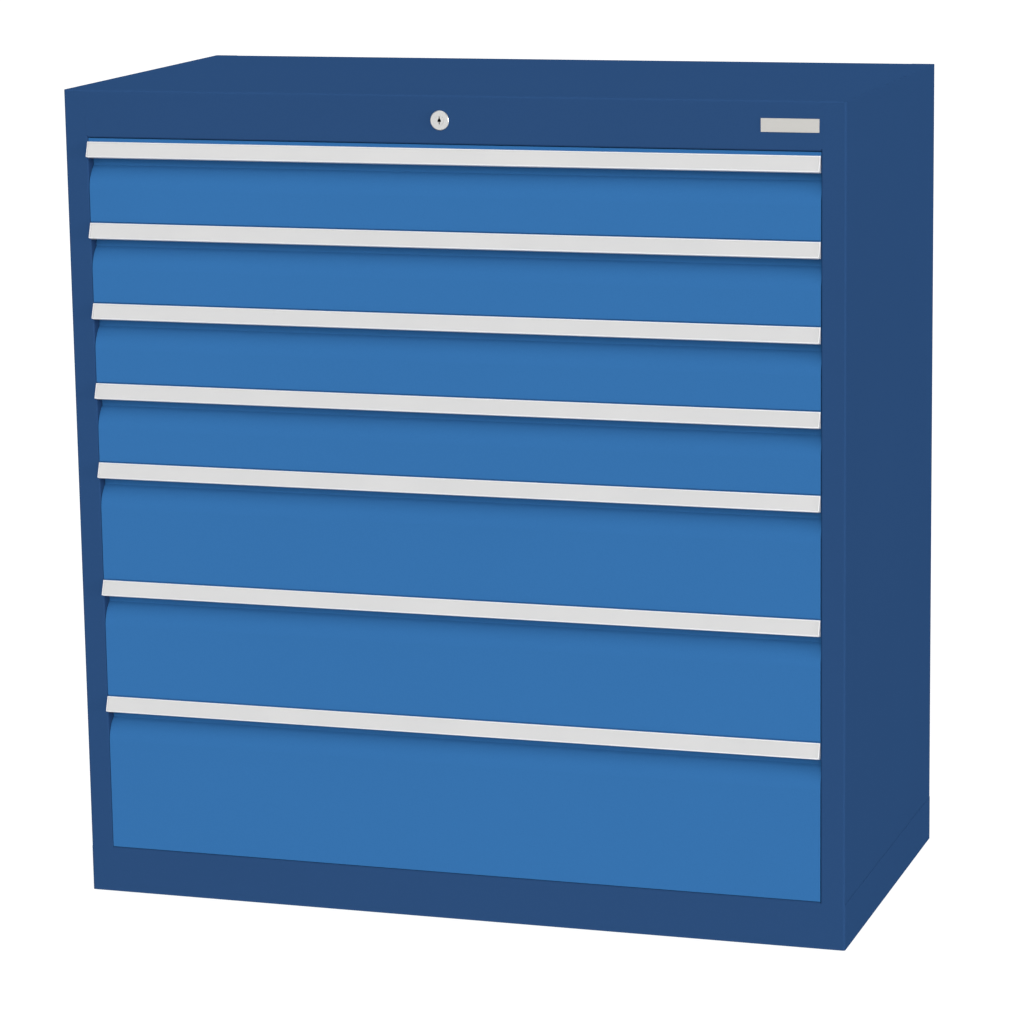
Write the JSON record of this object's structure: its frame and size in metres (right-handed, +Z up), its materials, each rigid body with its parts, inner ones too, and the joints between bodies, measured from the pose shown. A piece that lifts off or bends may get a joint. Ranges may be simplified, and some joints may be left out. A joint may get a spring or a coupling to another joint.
{
  "type": "drawer cabinet",
  "caption": "Sheet-steel drawer cabinet with full-width fronts, label-strip pulls, a central header lock and a plinth, on full pull-out roller slides.",
  "frame": {"origin": "bottom centre of the whole cabinet, pull strips included", "axes": "+X to the user's right, +Y to the back (the drawers open towards -Y), +Z up"},
  "size_m": [0.981, 0.5084, 1.019],
  "materials": {
    "carcass_paint": "dark blue powder coat, fine texture",
    "front_paint": "light blue powder coat, fine texture",
    "box_paint": "light grey powder coat",
    "zinc_steel": "zinc plated steel",
    "rail_aluminium": "natural anodised aluminium",
    "label_card": "plain light grey label strip",
    "plate_metal": "plain satin plate",
    "lock_chrome": "nickel plated, satin",
    "guide_plastic": "black polyamide"
  },
  "bodies": {
    "carcass": {"left_side_panel": "carcass_paint", "right_side_panel": "carcass_paint", "back_panel": "carcass_paint", "back_panel_rivets": "zinc_steel", "top_panel": "carcass_paint", "bottom_panel": "carcass_paint", "plinth_frame": "carcass_paint", "slotted_uprights": "zinc_steel", "cabinet_rails": "zinc_steel", "rail_rivets": "zinc_steel", "nameplate": "plate_metal", "lock_housing": "lock_chrome", "lock_nut": "lock_chrome", "shaft_bearing": "zinc_steel", "lock_bar_guides": "guide_plastic"},
    "drawer_1": {"drawer_1_front": "front_paint", "drawer_1_label_rail": "rail_aluminium", "drawer_1_label_insert": "label_card", "drawer_1_box": "box_paint", "drawer_1_runners": "zinc_steel"},
    "carriages_1": {"drawer_1_carriages": "zinc_steel"},
    "drawer_2": {"drawer_2_front": "front_paint", "drawer_2_label_rail": "rail_aluminium", "drawer_2_label_insert": "label_card", "drawer_2_box": "box_paint", "drawer_2_runners": "zinc_steel"},
    "carriages_2": {"drawer_2_carriages": "zinc_steel"},
    "drawer_3": {"drawer_3_front": "front_paint", "drawer_3_label_rail": "rail_aluminium", "drawer_3_label_insert": "label_card", "drawer_3_box": "box_paint", "drawer_3_runners": "zinc_steel"},
    "carriages_3": {"drawer_3_carriages": "zinc_steel"},
    "drawer_4": {"drawer_4_front": "front_paint", "drawer_4_label_rail": "rail_aluminium", "drawer_4_label_insert": "label_card", "drawer_4_box": "box_paint", "drawer_4_runners": "zinc_steel"},
    "carriages_4": {"drawer_4_carriages": "zinc_steel"},
    "drawer_5": {"drawer_5_front": "front_paint", "drawer_5_label_rail": "rail_aluminium", "drawer_5_label_insert": "label_card", "drawer_5_box": "box_paint", "drawer_5_runners": "zinc_steel"},
    "carriages_5": {"drawer_5_carriages": "zinc_steel"},
    "drawer_6": {"drawer_6_front": "front_paint", "drawer_6_label_rail": "rail_aluminium", "drawer_6_label_insert": "label_card", "drawer_6_box": "box_paint", "drawer_6_runners": "zinc_steel"},
    "carriages_6": {"drawer_6_carriages": "zinc_steel"},
    "drawer_7": {"drawer_7_front": "front_paint", "drawer_7_label_rail": "rail_aluminium", "drawer_7_label_insert": "label_card", "drawer_7_box": "box_paint", "drawer_7_runners": "zinc_steel"},
    "carriages_7": {"drawer_7_carriages": "zinc_steel"},
    "lock_bar": {"lock_bar": "zinc_steel"},
    "lock_core": {"lock_core": "lock_chrome", "lock_shaft": "zinc_steel"}
  },
  "joints": [
    {"name": "drawer_1_slide", "type": "slide", "parent": "carcass", "child": "drawer_1", "axis": [0, -1, 0], "range_m": [0, 0.4]},
    {"name": "carriages_1_slide", "type": "slide", "parent": "carcass", "child": "carriages_1", "axis": [0, -1, 0], "range_m": [0, 0.2]},
    {"name": "drawer_2_slide", "type": "slide", "parent": "carcass", "child": "drawer_2", "axis": [0, -1, 0], "range_m": [0, 0.4]},
    {"name": "carriages_2_slide", "type": "slide", "parent": "carcass", "child": "carriages_2", "axis": [0, -1, 0], "range_m": [0, 0.2]},
    {"name": "drawer_3_slide", "type": "slide", "parent": "carcass", "child": "drawer_3", "axis": [0, -1, 0], "range_m": [0, 0.4]},
    {"name": "carriages_3_slide", "type": "slide", "parent": "carcass", "child": "carriages_3", "axis": [0, -1, 0], "range_m": [0, 0.2]},
    {"name": "drawer_4_slide", "type": "slide", "parent": "carcass", "child": "drawer_4", "axis": [0, -1, 0], "range_m": [0, 0.4]},
    {"name": "carriages_4_slide", "type": "slide", "parent": "carcass", "child": "carriages_4", "axis": [0, -1, 0], "range_m": [0, 0.2]},
    {"name": "drawer_5_slide", "type": "slide", "parent": "carcass", "child": "drawer_5", "axis": [0, -1, 0], "range_m": [0, 0.4]},
    {"name": "carriages_5_slide", "type": "slide", "parent": "carcass", "child": "carriages_5", "axis": [0, -1, 0], "range_m": [0, 0.2]},
    {"name": "drawer_6_slide", "type": "slide", "parent": "carcass", "child": "drawer_6", "axis": [0, -1, 0], "range_m": [0, 0.4]},
    {"name": "carriages_6_slide", "type": "slide", "parent": "carcass", "child": "carriages_6", "axis": [0, -1, 0], "range_m": [0, 0.2]},
    {"name": "drawer_7_slide", "type": "slide", "parent": "carcass", "child": "drawer_7", "axis": [0, -1, 0], "range_m": [0, 0.4]},
    {"name": "carriages_7_slide", "type": "slide", "parent": "carcass", "child": "carriages_7", "axis": [0, -1, 0], "range_m": [0, 0.2]},
    {"name": "lock_bar_lift", "type": "slide", "parent": "carcass", "child": "lock_bar", "axis": [0, 0, 1], "range_m": [0, 0.01414]},
    {"name": "lock_turn", "type": "hinge", "parent": "carcass", "child": "lock_core", "pos_m": [-0.0037, -0.24577, 0.9893], "axis": [0, 1, 0], "range_deg": [0, 90]}
  ],
  "couplings": [
    {"joint": "carriages_1_slide", "follows": "drawer_1_slide", "ratio": 0.5},
    {"joint": "carriages_2_slide", "follows": "drawer_2_slide", "ratio": 0.5},
    {"joint": "carriages_3_slide", "follows": "drawer_3_slide", "ratio": 0.5},
    {"joint": "carriages_4_slide", "follows": "drawer_4_slide", "ratio": 0.5},
    {"joint": "carriages_5_slide", "follows": "drawer_5_slide", "ratio": 0.5},
    {"joint": "carriages_6_slide", "follows": "drawer_6_slide", "ratio": 0.5},
    {"joint": "carriages_7_slide", "follows": "drawer_7_slide", "ratio": 0.5},
    {"joint": "lock_turn", "follows": "lock_bar_lift", "rad_per_m": 111}
  ]
}
